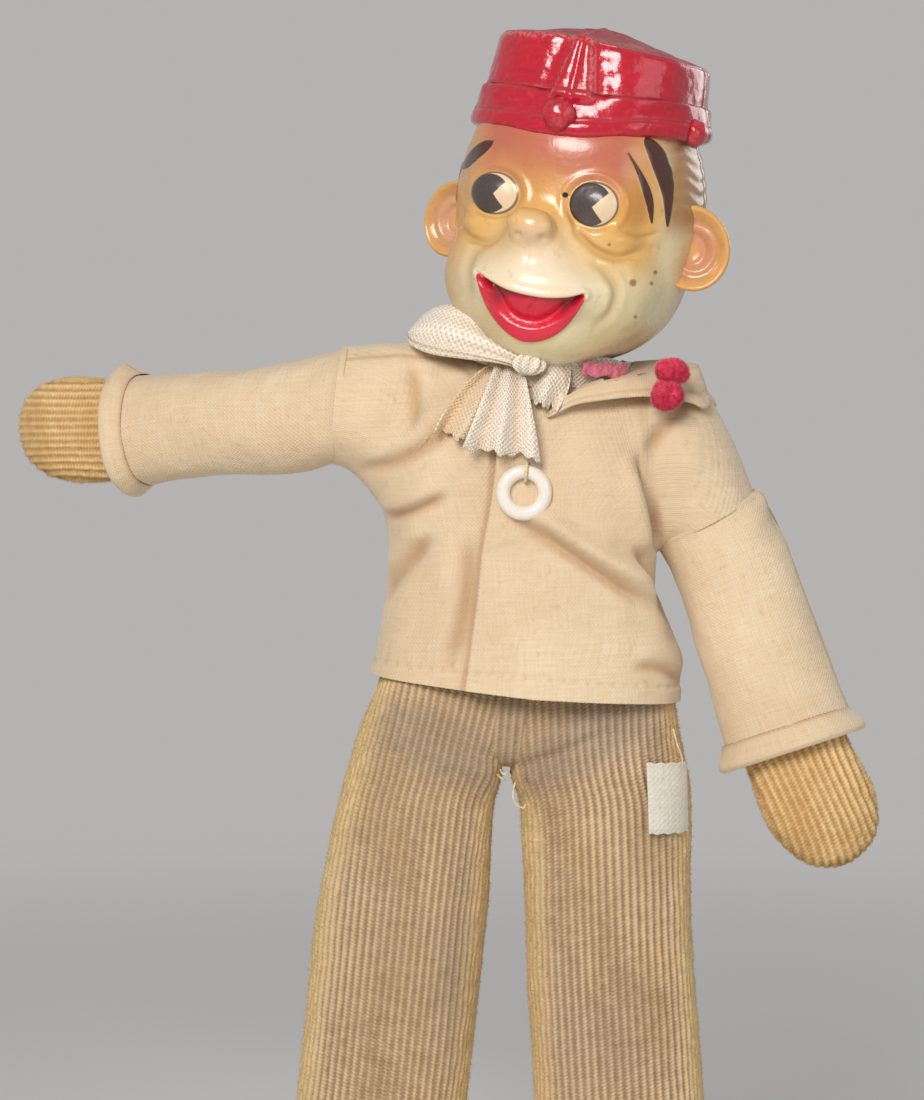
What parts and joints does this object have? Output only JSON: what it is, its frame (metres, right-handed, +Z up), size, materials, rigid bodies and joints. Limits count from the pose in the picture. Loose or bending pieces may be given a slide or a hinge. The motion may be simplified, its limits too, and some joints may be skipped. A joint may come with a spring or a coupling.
{
  "type": "posable cloth monkey doll",
  "caption": "Stuffed cloth monkey doll in bellhop dress: moulded head and hat that turn, arms that raise and sweep, legs that swing, and a hanging ring button.",
  "frame": {"origin": "on the floor, under the middle of the outer box, between the feet", "axes": "+Z up along the height; -Y is the way the body faces; +X towards the monkey's own left hand, which hangs; the raised right arm points to -X and back"},
  "size_m": [0.1966, 0.0765, 0.3],
  "materials": {
    "moulded_head": "gloss",
    "hat_red": "gloss",
    "plug_wood": "satin",
    "thread": "matte",
    "stuffing": "matte",
    "lining": "matte",
    "steel_wire": "satin",
    "jacket_cotton": "matte",
    "satin_ribbon": "satin",
    "red_felt": "matte",
    "pearl_ring": "gloss",
    "red_yarn": "matte",
    "trouser_corduroy": "matte",
    "label_cloth": "matte",
    "mitten_corduroy": "matte",
    "sole_board": "matte"
  },
  "bodies": {
    "torso": {"torso_stuffing": "stuffing", "torso_skin": "lining", "neck_plug": "plug_wood", "neck_string": "thread", "spine_wire": "steel_wire", "shoulder_wire": "steel_wire", "hip_rod": "steel_wire", "jacket_back": "jacket_cotton", "jacket_front_right": "jacket_cotton", "jacket_front_left": "jacket_cotton", "jacket_collar": "jacket_cotton", "neck_ribbon": "satin_ribbon", "neck_trim": "red_felt", "bow_knot": "satin_ribbon", "bow_loop": "satin_ribbon", "bow_tail_upper": "satin_ribbon", "bow_tail_lower": "satin_ribbon", "ring_thread": "thread", "collar_pompom": "red_yarn", "trouser_seat": "trouser_corduroy"},
    "head": {"head_front_shell": "moulded_head", "head_back_shell": "moulded_head"},
    "ring": {"ring_button": "pearl_ring"},
    "shoulder_right": {"shoulder_pad_right": "jacket_cotton", "shoulder_link_right": "steel_wire"},
    "arm_right": {"arm_skin_right": "mitten_corduroy", "arm_stuffing_right": "stuffing", "arm_wire_right": "steel_wire", "sleeve_right": "jacket_cotton", "cuff_right": "jacket_cotton"},
    "leg_right": {"trouser_leg_right": "trouser_corduroy", "leg_stuffing_right": "stuffing", "leg_wire_right": "steel_wire", "foot_right": "mitten_corduroy", "foot_stuffing_right": "stuffing", "sole_right": "sole_board"},
    "shoulder_left": {"shoulder_pad_left": "jacket_cotton", "shoulder_link_left": "steel_wire"},
    "arm_left": {"arm_skin_left": "mitten_corduroy", "arm_stuffing_left": "stuffing", "arm_wire_left": "steel_wire", "sleeve_left": "jacket_cotton", "cuff_left": "jacket_cotton"},
    "leg_left": {"trouser_leg_left": "trouser_corduroy", "leg_stuffing_left": "stuffing", "leg_wire_left": "steel_wire", "foot_left": "mitten_corduroy", "foot_stuffing_left": "stuffing", "sole_left": "sole_board", "label_tag": "label_cloth"}
  },
  "joints": [
    {"name": "neck_turn", "type": "hinge", "parent": "torso", "child": "head", "pos_m": [0.02903, -0.0061, 0.22817], "axis": [0.1214, -0.0872, 0.9888], "range_deg": [-30, 70]},
    {"name": "ring_tilt", "type": "hinge", "parent": "torso", "child": "ring", "pos_m": [0.02065, -0.0267, 0.20125], "axis": [-0.9962, 0, 0.0872], "range_deg": [0, 60]},
    {"name": "shoulder_raise_right", "type": "hinge", "parent": "torso", "child": "shoulder_right", "pos_m": [-0.00221, -0.0041, 0.21534], "axis": [0, 1, 0], "range_deg": [-61, 29]},
    {"name": "arm_sweep_right", "type": "hinge", "parent": "shoulder_right", "child": "arm_right", "pos_m": [-0.01717, -0.0041, 0.21429], "axis": [0.0698, 0, -0.9976], "range_deg": [-85, 15]},
    {"name": "shoulder_raise_left", "type": "hinge", "parent": "torso", "child": "shoulder_left", "pos_m": [0.05756, -0.0041, 0.21011], "axis": [0, -1, 0], "range_deg": [-3, 87]},
    {"name": "arm_sweep_left", "type": "hinge", "parent": "shoulder_left", "child": "arm_left", "pos_m": [0.0622, -0.0041, 0.19584], "axis": [0.9511, 0, 0.309], "range_deg": [-52, 48]},
    {"name": "hip_swing_right", "type": "hinge", "parent": "torso", "child": "leg_right", "pos_m": [0.0029, -0.0041, 0.141], "axis": [-1, 0, 0], "range_deg": [-15, 60]},
    {"name": "hip_swing_left", "type": "hinge", "parent": "torso", "child": "leg_left", "pos_m": [0.0399, -0.0041, 0.141], "axis": [-1, 0, 0], "range_deg": [-15, 60]}
  ]
}
